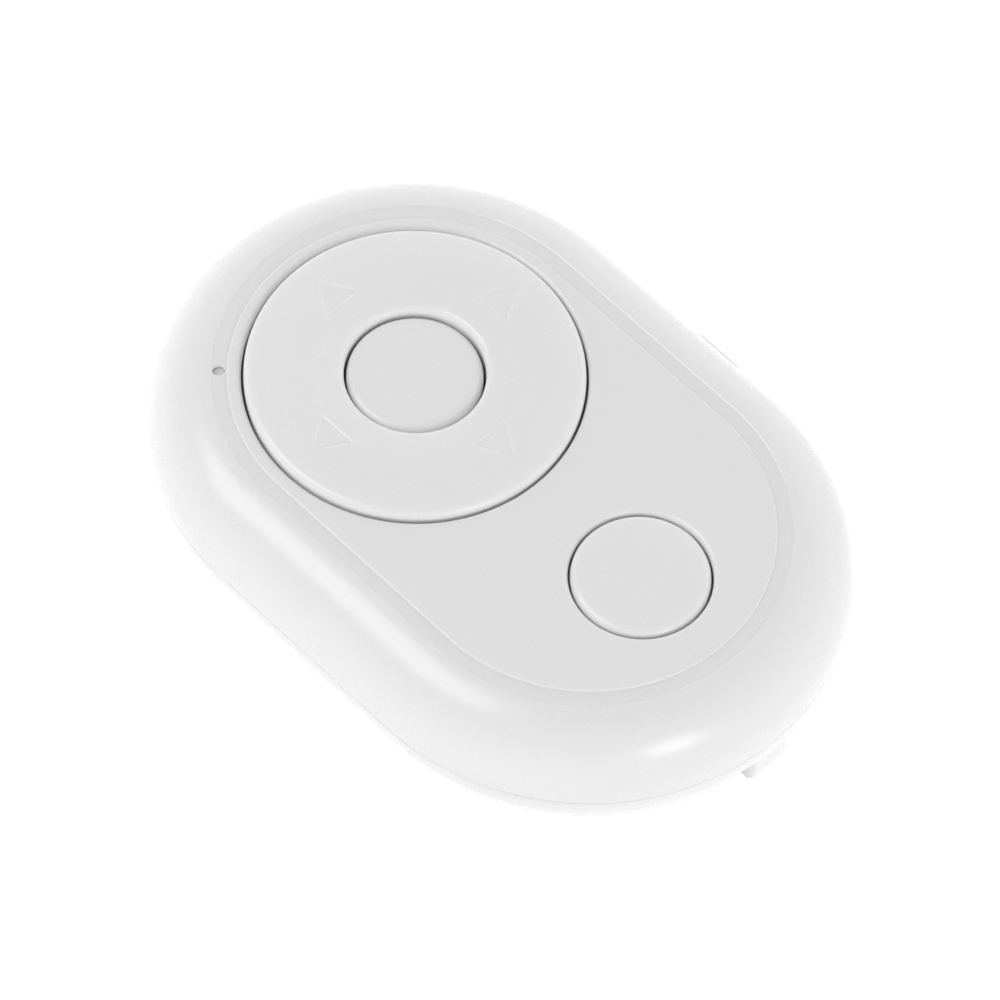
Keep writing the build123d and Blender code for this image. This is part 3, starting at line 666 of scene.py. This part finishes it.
class REMOTE_OT_case_top(bpy.types.Operator):
    """Models the upper case shell with its rounded rim, channel, panel and holes"""

    bl_idname = "remote.case_top"
    bl_label = "Case top"

    def execute(self, context):
        case, inner = context.scene.remote_case, context.scene.remote_inner
        half, top, parting = CASE[1].x, CASE[1].z, CASE[0].z
        bend = top - parting
        edge, crease = case.parting_round, case.crease
        channel_floor = top - case.channel_depth
        rim_start = case.panel_radius + case.channel_width - case.blend / 2
        profile = arc(
            case.panel_radius - case.panel_edge, top - case.panel_edge, case.panel_edge, 90, 0,
            steps=6)
        profile += arc(
            case.panel_radius + crease, channel_floor + crease, crease, 180, 270, steps=3)
        for step in range(BLEND_STEPS + 1):
            share = step / BLEND_STEPS
            r = rim_start + share * case.blend
            rim_z = parting + sqrt(bend**2 - (r - half + bend) ** 2)
            weight = share**2 * (3 - 2 * share)
            profile.append((r, channel_floor + weight * (rim_z - channel_floor)))
        rim_angle = degrees(asin((profile[-1][1] - parting) / bend))
        profile += arc(half - bend, parting, bend, rim_angle, RIM_END, steps=36)[1:]
        profile += arc(half - edge, parting + edge, edge, 0, -90, steps=4)
        shell = drawn_apart(turned("case_top", profile, case.steps), END_Y)

        ceiling = top - case.top_wall
        inner_bend = bend - case.wall
        inner_z = ceiling - inner_bend
        lip_r = half - case.wall + case.lip + case.lip_gap
        lip_z = BASE[1].z + case.lip_gap
        lip_angle = degrees(asin((lip_z - inner_z) / inner_bend))
        profile = [(lip_r, parting - edge - case.lip_gap), (lip_r, lip_z)]
        profile += arc(half - bend, inner_z, inner_bend, lip_angle, 90, steps=16)
        room = drawn_apart(turned("room", profile, case.steps), END_Y)
        case_posts = case_post_places(context.scene)
        board_posts = board_post_places(context.scene)
        cut(room, together([
            rods(case_posts, inner.top_post, parting - OVER, top),
            rods(board_posts, inner.board_post, BOARD[1].z, top),
        ]))
        cut(shell, room)

        low = ceiling - OVER
        ring_hole = hole_cutter(case.ring_hole, low, top, case.hole_round, steps=256)
        lower_hole = hole_cutter(case.lower_hole, low, top, case.hole_round, steps=128)
        light_hole = hole_cutter(case.light_hole, low, channel_floor, case.light_edge, steps=32)
        middle = (case.panel_radius + case.channel_width / 2) * sqrt(0.5)
        cut(shell, together([
            moved(ring_hole, (0, RING_Y, 0)),
            moved(lower_hole, (0, LOWER_Y, 0)),
            moved(light_hole, (-middle, END_Y + middle, 0)),
            rods(case_posts, inner.pilot, parting - OVER, inner.case_pilot_top),
            rods(board_posts, inner.pilot, BOARD[1].z - OVER, inner.board_pilot_top),
        ]))
        cut(shell, window(context.scene))
        dressed(shell, "case", "top_shell", "white_case_plastic")
        return {"FINISHED"}


class REMOTE_OT_case_bottom(bpy.types.Operator):
    """Models the lower case shell with its strap lug, battery opening and screw recesses"""

    bl_idname = "remote.case_bottom"
    bl_label = "Case bottom"

    def execute(self, context):
        case, inner = context.scene.remote_case, context.scene.remote_inner
        lug, screw = context.scene.remote_lug, context.scene.remote_screws
        half, parting, lip_top = CASE[1].x, CASE[0].z, BASE[1].z
        edge = case.parting_round
        bend = parting - case.band
        lip_r = half - case.wall + case.lip
        profile = [(lip_r, lip_top), (lip_r, parting)]
        profile += arc(half - edge, parting - edge, edge, 90, 0, steps=4)
        profile += arc(half - bend, bend, bend, 0, -90, steps=36)
        shell = drawn_apart(turned("case_bottom", profile, case.steps), END_Y)

        inner_bend = bend - case.wall
        profile = [(half - case.wall, lip_top + OVER)]
        profile += arc(half - bend, case.floor_wall + inner_bend, inner_bend, 0, -90, steps=16)
        room = drawn_apart(turned("room", profile, case.steps), END_Y)
        case_posts = case_post_places(context.scene)
        pillar_x = BOARD[1].x - inner.pillar_inset
        pillars = [(x, y) for x in (-pillar_x, pillar_x) for y in (-inner.pillar_y, inner.pillar_y)]
        cut(room, rods(case_posts, inner.low_post, 0, parting))
        cut(room, rods(pillars, inner.pillar, 0, BOARD[0].z))
        pocket = rods([(0, LID_Y)], inner.pocket_wall, 0, inner.pocket_top, sides=180)
        cut(pocket, rods([(0, LID_Y)], inner.pocket, -OVER, inner.pocket_top + OVER, sides=180))
        cut(room, pocket)
        cut(room, block(
            (-lug.block / 2, TAIL_Y - OVER, 0),
            (lug.block / 2, TAIL_Y + lug.block_depth, lug.block_top)))
        cut(shell, room)
        opening_r = LID[1].x + inner.lid_gap
        cut(shell, rods([(0, LID_Y)], opening_r, -OVER, case.floor_wall, sides=180))
        cut(shell, rods(case_posts, inner.head_hole, -OVER, screw.seat))
        cut(shell, rods(case_posts, inner.screw_way, 0, lip_top + OVER))
        cut(shell, window(context.scene))

        scoop = cross_bar(lug.scoop, lug.scoop_length, TAIL_Y + lug.scoop_inset, lug.hole_z)
        bpy.ops.object.mode_set(mode="EDIT")
        mesh = bmesh.from_edit_mesh(scoop.data)
        for rim in mesh.edges:
            rim.select_set(abs(rim.verts[0].co.x - rim.verts[1].co.x) < NEAR)
        bmesh.update_edit_mesh(scoop.data)
        bpy.ops.mesh.bevel(offset=lug.scoop_end, segments=8, affect="EDGES")
        bpy.ops.object.mode_set(mode="OBJECT")
        cut(shell, scoop)

        tip_y = TAIL_Y + lug.inset
        loop = block(
            (-lug.width / 2, tip_y, lug.low), (lug.width / 2, tip_y + lug.depth, lug.high))
        bpy.ops.object.mode_set(mode="EDIT")
        pick(loop, lambda vertex: vertex.co.y < tip_y + NEAR)
        bpy.ops.mesh.bevel(offset=lug.edge, segments=5, affect="EDGES")
        bpy.ops.object.mode_set(mode="OBJECT")
        united(shell, loop)
        hole_y = TAIL_Y + lug.hole_inset
        cut(shell, cross_bar(lug.hole, lug.width + OVER, hole_y, lug.hole_z, sides=40))
        dressed(shell, "case", "bottom_shell", "white_case_plastic")
        return {"FINISHED"}


class REMOTE_OT_ring(bpy.types.Operator):
    """Models the domed direction ring with its four sunk arrow heads"""

    bl_idname = "remote.ring"
    bl_label = "Direction ring"

    def execute(self, context):
        sizes = context.scene.remote_buttons
        top, crown, low, flange_r = CASE[1].z, RING[1].z, RING[0].z, RING[1].x
        flange_top = low + sizes.flange
        under = top + sizes.ring_outer_rise - sizes.skin
        peak = (sizes.ring_radius + sizes.ring_bore) / 2
        outer = domed_edge(
            sizes.ring_radius, top + sizes.ring_outer_rise, crown - top - sizes.ring_outer_rise,
            sizes.ring_round, peak)
        inner = domed_edge(
            sizes.ring_bore, top + sizes.ring_inner_rise, crown - top - sizes.ring_inner_rise,
            sizes.bore_round, peak)
        profile = outer + [
            (sizes.ring_radius, flange_top),
            (flange_r, flange_top),
            (flange_r, low),
            (sizes.ring_radius - sizes.skin, low),
            (sizes.ring_radius - sizes.skin, under),
            (sizes.ring_bore + sizes.skin, under),
            (sizes.ring_bore + sizes.skin, low),
            (sizes.ring_bore, low),
        ] + inner[::-1]
        ring = turned("ring_key", profile, sizes.steps)
        places = [(0, peak), (0, -peak), (peak, 0), (-peak, 0)]
        united(ring, rods(places, sizes.ring_post, low, under + sizes.arrow_depth))

        depth = 4 * sizes.arrow_depth
        corner_r = sizes.arrow_side / sqrt(3)
        arrows = []
        for turn in range(4):
            bpy.ops.object.select_all(action="DESELECT")
            bpy.ops.mesh.primitive_cylinder_add(
                vertices=3, radius=corner_r, depth=depth,
                location=(0, 0, crown - sizes.arrow_depth + depth / 2))
            arrow = settled(bpy.context.active_object)
            bpy.ops.object.mode_set(mode="EDIT")
            pick(arrow, lambda vertex: vertex.co.z > crown)
            bpy.ops.transform.resize(
                value=(sizes.arrow_slope, sizes.arrow_slope, 1), center_override=(0, 0, crown))
            bpy.ops.object.mode_set(mode="OBJECT")
            moved(arrow, (0, sizes.arrow_tip - corner_r, 0))
            arrow.rotation_euler = (0, 0, turn * pi / 2)
            arrows.append(settled(arrow))
        cut(ring, together(arrows))
        moved(ring, (0, RING_Y, 0))
        dressed(ring, "ring", "ring_pad", "white_button_plastic", angle=24)
        return {"FINISHED"}


class REMOTE_OT_keys(bpy.types.Operator):
    """Models the two round buttons with their crowns, flanges and stems"""

    bl_idname = "remote.keys"
    bl_label = "Round buttons"

    def execute(self, context):
        sizes, case = context.scene.remote_buttons, context.scene.remote_case
        self.key("centre_button", sizes.centre_radius, RING[0].z - sizes.centre_drop, RING_Y, sizes)
        ceiling = CASE[1].z - case.top_wall
        self.key("lower_button", sizes.lower_radius, ceiling - sizes.lower_drop, LOWER_Y, sizes)
        return {"FINISHED"}

    def key(self, node, radius, flange_top, middle, sizes):
        """Models the button that takes the place of one node."""
        name = node.replace("button", "key")
        low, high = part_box(node)
        edge_z = high.z - sizes.crown
        under = edge_z - sizes.skin
        profile = domed_edge(radius, edge_z, sizes.crown, sizes.edge)
        profile += [
            (radius, flange_top),
            (high.x, flange_top),
            (high.x, flange_top - sizes.flange),
            (radius - sizes.skirt, flange_top - sizes.flange),
            (radius - sizes.skirt, under),
            (sizes.stem, under),
            (sizes.stem, low.z + sizes.stem_edge),
            (sizes.stem - sizes.stem_edge, low.z),
            (0.0, low.z),
        ]
        piece = moved(turned(name, profile, sizes.steps), (0, middle, 0))
        dressed(piece, name, node, "white_button_plastic")


class REMOTE_OT_click_domes(bpy.types.Operator):
    """Models the snap domes under the two round buttons, unpressed; the real ones flatten when
    pressed
    """

    bl_idname = "remote.click_domes"
    bl_label = "Click domes"

    def execute(self, context):
        sizes = context.scene.remote_buttons
        self.dome("centre_dome", "centre_button_press", RING_Y, sizes)
        self.dome("lower_dome", "lower_button_press", LOWER_Y, sizes)
        return {"FINISHED"}

    def dome(self, node, joint, middle, sizes):
        """Models one dome as a thin cap."""
        low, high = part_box(node)
        rise = high.z - low.z
        ball = (high.x**2 + rise**2) / (2 * rise)
        centre_z = high.z - ball
        inner_ball = ball - sizes.dome_sheet
        lean = degrees(asin(high.x / ball))
        inner_lean = degrees(acos((low.z - centre_z) / inner_ball))
        profile = arc(0, centre_z, ball, 90, 90 - lean, steps=16)
        profile += arc(0, centre_z, inner_ball, 90 - inner_lean, 90, steps=16)
        piece = moved(turned(f"click_{node}", profile, steps=64), (0, middle, 0))
        dressed(piece, "case", node, "bright_steel")
        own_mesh(piece)


class REMOTE_OT_power_thumb(bpy.types.Operator):
    """Models the power switch's thumb piece with its rounded tip and inner plate"""

    bl_idname = "remote.power_thumb"
    bl_label = "Power switch"

    def execute(self, context):
        switch = context.scene.remote_switch
        depth = THUMB[1].x - THUMB[0].x
        plate_r = switch.half_height + switch.plate_reach
        profile = [
            (plate_r - switch.plate_edge, 0),
            (plate_r, switch.plate_edge),
            (plate_r, switch.plate),
            (switch.half_height, switch.plate),
        ]
        tip_r = switch.half_height - switch.tip
        profile += arc(tip_r, depth - switch.tip, switch.tip, 0, 90, steps=12)
        thumb = turned("power_thumb", profile, steps=64)
        drawn_apart(thumb, switch.half_length - switch.half_height)
        thumb.rotation_euler = (0, pi / 2, 0)
        moved(thumb, (THUMB[0].x, (THUMB[0].y + THUMB[1].y) / 2, (THUMB[0].z + THUMB[1].z) / 2))
        gap = Vector((1, 1, 1)) * switch.lever_gap
        cut(thumb, block(LEVER[0] - gap, LEVER[1] + gap))
        dressed(thumb, "power_slider", "power_knob", "white_button_plastic")
        return {"FINISHED"}


class REMOTE_OT_battery_lid(bpy.types.Operator):
    """Models the battery lid with its grip grooves and its notch"""

    bl_idname = "remote.battery_lid"
    bl_label = "Battery lid"

    def execute(self, context):
        sizes = context.scene.remote_lid
        low, high = LID
        radius = high.x
        profile = [(radius - sizes.inner_edge, high.z), (radius, high.z - sizes.inner_edge)]
        profile += arc(radius - sizes.edge, low.z + sizes.edge, sizes.edge, 0, -90, steps=6)
        lid = moved(turned("battery_lid", profile, steps=180), (0, LID_Y, 0))
        groove_r = sizes.groove_width / 2
        profile = [
            (groove_r * across, low.z + sizes.groove_depth * up) for across, up in GROOVE_SECTION]
        for row in (-1, 0, 1):
            groove = turned("groove", profile, steps=32)
            drawn_apart(groove, sizes.groove_length / 2 - groove_r)
            groove.rotation_euler = (0, 0, pi / 2)
            cut(lid, moved(groove, (0, LID_Y + row * sizes.groove_pitch, 0)))
        notch_top = low.z + sizes.notch_depth
        cut(lid, rods([(0, LID_Y - radius)], sizes.notch, low.z - OVER, notch_top))
        dressed(lid, "cover", "battery_cover", "white_case_plastic")
        return {"FINISHED"}


class REMOTE_OT_case_screws(bpy.types.Operator):
    """Models one case screw with a six-sided drive and copies it to its three places"""

    bl_idname = "remote.case_screws"
    bl_label = "Case screws"

    def execute(self, context):
        sizes = context.scene.remote_screws
        low, high = HEADS
        profile = [
            (sizes.shank - sizes.point / 2, high.z),
            (sizes.shank, high.z - sizes.point),
            (sizes.shank, sizes.seat),
            (sizes.head, sizes.seat),
        ]
        profile += arc(sizes.head - sizes.edge, low.z + sizes.edge, sizes.edge, 0, -90, steps=5)
        screw = turned("case_screw_set", profile, steps=48)
        drive_top = low.z + sizes.drive_depth
        cut(screw, rods([(0, 0)], sizes.drive, low.z - OVER, drive_top, sides=6))
        places = case_post_places(context.scene)
        screws = [screw]
        while len(screws) < len(places):
            alone(screw)
            bpy.ops.object.duplicate(linked=False)
            screws.append(bpy.context.active_object)
        for piece, (x, y) in zip(screws, places):
            moved(piece, (x, y, 0))
        dressed(together(screws), "case", "case_screws", "bright_steel")
        return {"FINISHED"}


class REMOTE_OT_inner_parts(bpy.types.Operator):
    """Gives the board, cell, contacts and the other inner parts their finishes"""

    bl_idname = "remote.inner_parts"
    bl_label = "Inner parts"

    def execute(self, context):
        slots = {part["node"]: part["material_slot"] for part in frame["record"]["subparts"]}
        for name, node in frame["nodes"].items():
            if not node.hide_render:
                node.data.materials.clear()
                node.data.materials.append(finish_for(slots[name]))
        return {"FINISHED"}


class REMOTE_OT_stage(bpy.types.Operator):
    """Sets up the floor, the studio light and the camera"""

    bl_idname = "remote.stage"
    bl_label = "Stage"

    def execute(self, context):
        look = context.scene.remote_stage
        self.floor(look)
        self.surroundings(context.scene, look)
        self.lamp("key_light", look.key_from, look.key_along, look.key_size, look.key_power)
        square = (look.low_size, look.low_size)
        self.lamp("low_light", look.low_from, look.key_along, square, look.low_power)
        self.camera(context.scene, look)
        context.scene.view_settings.view_transform = "Standard"
        return {"FINISHED"}

    def floor(self, look):
        """Lays a pale floor that looks white to the camera and keeps its shadow."""
        bpy.ops.object.select_all(action="DESELECT")
        bpy.ops.mesh.primitive_plane_add(size=FLOOR_SIZE, location=(0, 0, 0))
        floor = bpy.context.active_object
        floor.name = "floor"
        material, nodes, links, shader = new_material("floor_finish")
        nodes.remove(shader)
        matt = nodes.new("ShaderNodeBsdfDiffuse")
        matt.inputs["Color"].default_value = (*look.floor_colour, 1)
        rays = nodes.new("ShaderNodeLightPath").outputs
        tree = material.node_tree
        gleam = maths(tree, "MULTIPLY", rays["Is Glossy Ray"], look.floor_gleam)
        level = maths(tree, "MULTIPLY_ADD", rays["Is Camera Ray"], look.floor_glow, gleam)
        glow = nodes.new("ShaderNodeEmission")
        links.new(level, glow.inputs["Strength"])
        both = nodes.new("ShaderNodeAddShader")
        links.new(matt.outputs["BSDF"], both.inputs[0])
        links.new(glow.outputs["Emission"], both.inputs[1])
        links.new(both.outputs["Shader"], nodes["Material Output"].inputs["Surface"])
        floor.data.materials.append(material)

    def surroundings(self, scene, look):
        """Soft light from all round, stronger near the horizon, and white to the camera."""
        world = bpy.data.worlds.new("studio")
        scene.world = world
        world.use_nodes = True
        tree = world.node_tree
        nodes, links = tree.nodes, tree.links
        place = nodes.new("ShaderNodeTexCoord")
        parts = nodes.new("ShaderNodeSeparateXYZ")
        links.new(place.outputs["Generated"], parts.inputs["Vector"])
        low = maths(tree, "SUBTRACT", 1, parts.outputs["Z"], clamp=True)
        side = nodes.new("ShaderNodeVectorMath")
        side.operation = "DOT_PRODUCT"
        side.inputs[1].default_value = look.lean
        links.new(place.outputs["Generated"], side.inputs[0])
        share = maths(tree, "MULTIPLY_ADD", side.outputs["Value"], look.horizon, look.horizon)
        level = maths(tree, "MULTIPLY_ADD", low, share, look.overhead)
        soft = nodes["Background"]
        soft.inputs["Color"].default_value = (1, 1, 1, 1)
        links.new(level, soft.inputs["Strength"])
        white = nodes.new("ShaderNodeBackground")
        white.inputs["Color"].default_value = (1, 1, 1, 1)
        rays = nodes.new("ShaderNodeLightPath")
        mix = nodes.new("ShaderNodeMixShader")
        links.new(rays.outputs["Is Camera Ray"], mix.inputs["Fac"])
        links.new(soft.outputs["Background"], mix.inputs[1])
        links.new(white.outputs["Background"], mix.inputs[2])
        links.new(mix.outputs["Shader"], nodes["World Output"].inputs["Surface"])

    def lamp(self, name, place, along, size, power):
        """Hangs a soft lamp that points at the remote and stretches one way."""
        bpy.ops.object.light_add(type="AREA", location=place)
        lamp = bpy.context.active_object
        lamp.name = name
        lamp.data.shape = "RECTANGLE"
        lamp.data.size, lamp.data.size_y = size
        lamp.data.energy = power
        back = Vector(place).normalized()
        side = Vector(along).cross(back).normalized()
        lamp.rotation_euler = Matrix((side, back.cross(side), back)).transposed().to_euler()

    def camera(self, scene, look):
        """Puts the camera where the photograph was taken from."""
        bpy.ops.object.camera_add()
        camera = bpy.context.active_object
        camera.name = "camera"
        turn = (
            Matrix.Rotation(look.azimuth, 4, "Z")
            @ Matrix.Rotation(pi / 2 - look.elevation, 4, "X")
            @ Matrix.Rotation(look.roll, 4, "Z")
        )
        back = turn @ Vector((0, 0, look.distance))
        camera.matrix_world = Matrix.Translation(Vector(look.aim) + back) @ turn
        camera.data.sensor_width = SENSOR_WIDTH
        camera.data.lens = look.lens
        scene.camera = camera


class REMOTE_PT_panel(bpy.types.Panel):
    """Lists the pieces of the remote"""

    bl_idname = "REMOTE_PT_panel"
    bl_label = "Selfie remote"
    bl_space_type = "VIEW_3D"
    bl_region_type = "UI"
    bl_category = "Remote"

    def draw(self, context):
        for step in STEPS:
            self.layout.operator(step.bl_idname)


SETTINGS = {
    "remote_case": CaseSizes,
    "remote_inner": InnerSizes,
    "remote_lug": LugSizes,
    "remote_buttons": ButtonSizes,
    "remote_switch": SwitchSizes,
    "remote_lid": LidSizes,
    "remote_screws": ScrewSizes,
    "remote_finishes": Finishes,
    "remote_stage": StageLook,
}
STEPS = (
    REMOTE_OT_case_top,
    REMOTE_OT_case_bottom,
    REMOTE_OT_ring,
    REMOTE_OT_keys,
    REMOTE_OT_click_domes,
    REMOTE_OT_power_thumb,
    REMOTE_OT_battery_lid,
    REMOTE_OT_case_screws,
    REMOTE_OT_inner_parts,
    REMOTE_OT_stage,
)


def register():
    """Registers the settings, the operators and the panel."""
    for name, group in SETTINGS.items():
        bpy.utils.register_class(group)
        setattr(bpy.types.Scene, name, PointerProperty(type=group))
    for part in (*STEPS, REMOTE_PT_panel):
        bpy.utils.register_class(part)


def unregister():
    """Removes the panel, the operators and the settings."""
    for part in (REMOTE_PT_panel, *reversed(STEPS)):
        bpy.utils.unregister_class(part)
    for name, group in reversed(SETTINGS.items()):
        delattr(bpy.types.Scene, name)
        bpy.utils.unregister_class(group)


def main():
    """Builds the whole remote."""
    register()
    bpy.ops.remote.case_top()
    bpy.ops.remote.case_bottom()
    bpy.ops.remote.ring()
    bpy.ops.remote.keys()
    bpy.ops.remote.click_domes()
    bpy.ops.remote.power_thumb()
    bpy.ops.remote.battery_lid()
    bpy.ops.remote.case_screws()
    bpy.ops.remote.inner_parts()
    bpy.ops.remote.stage()


if __name__ == "__main__":
    main()
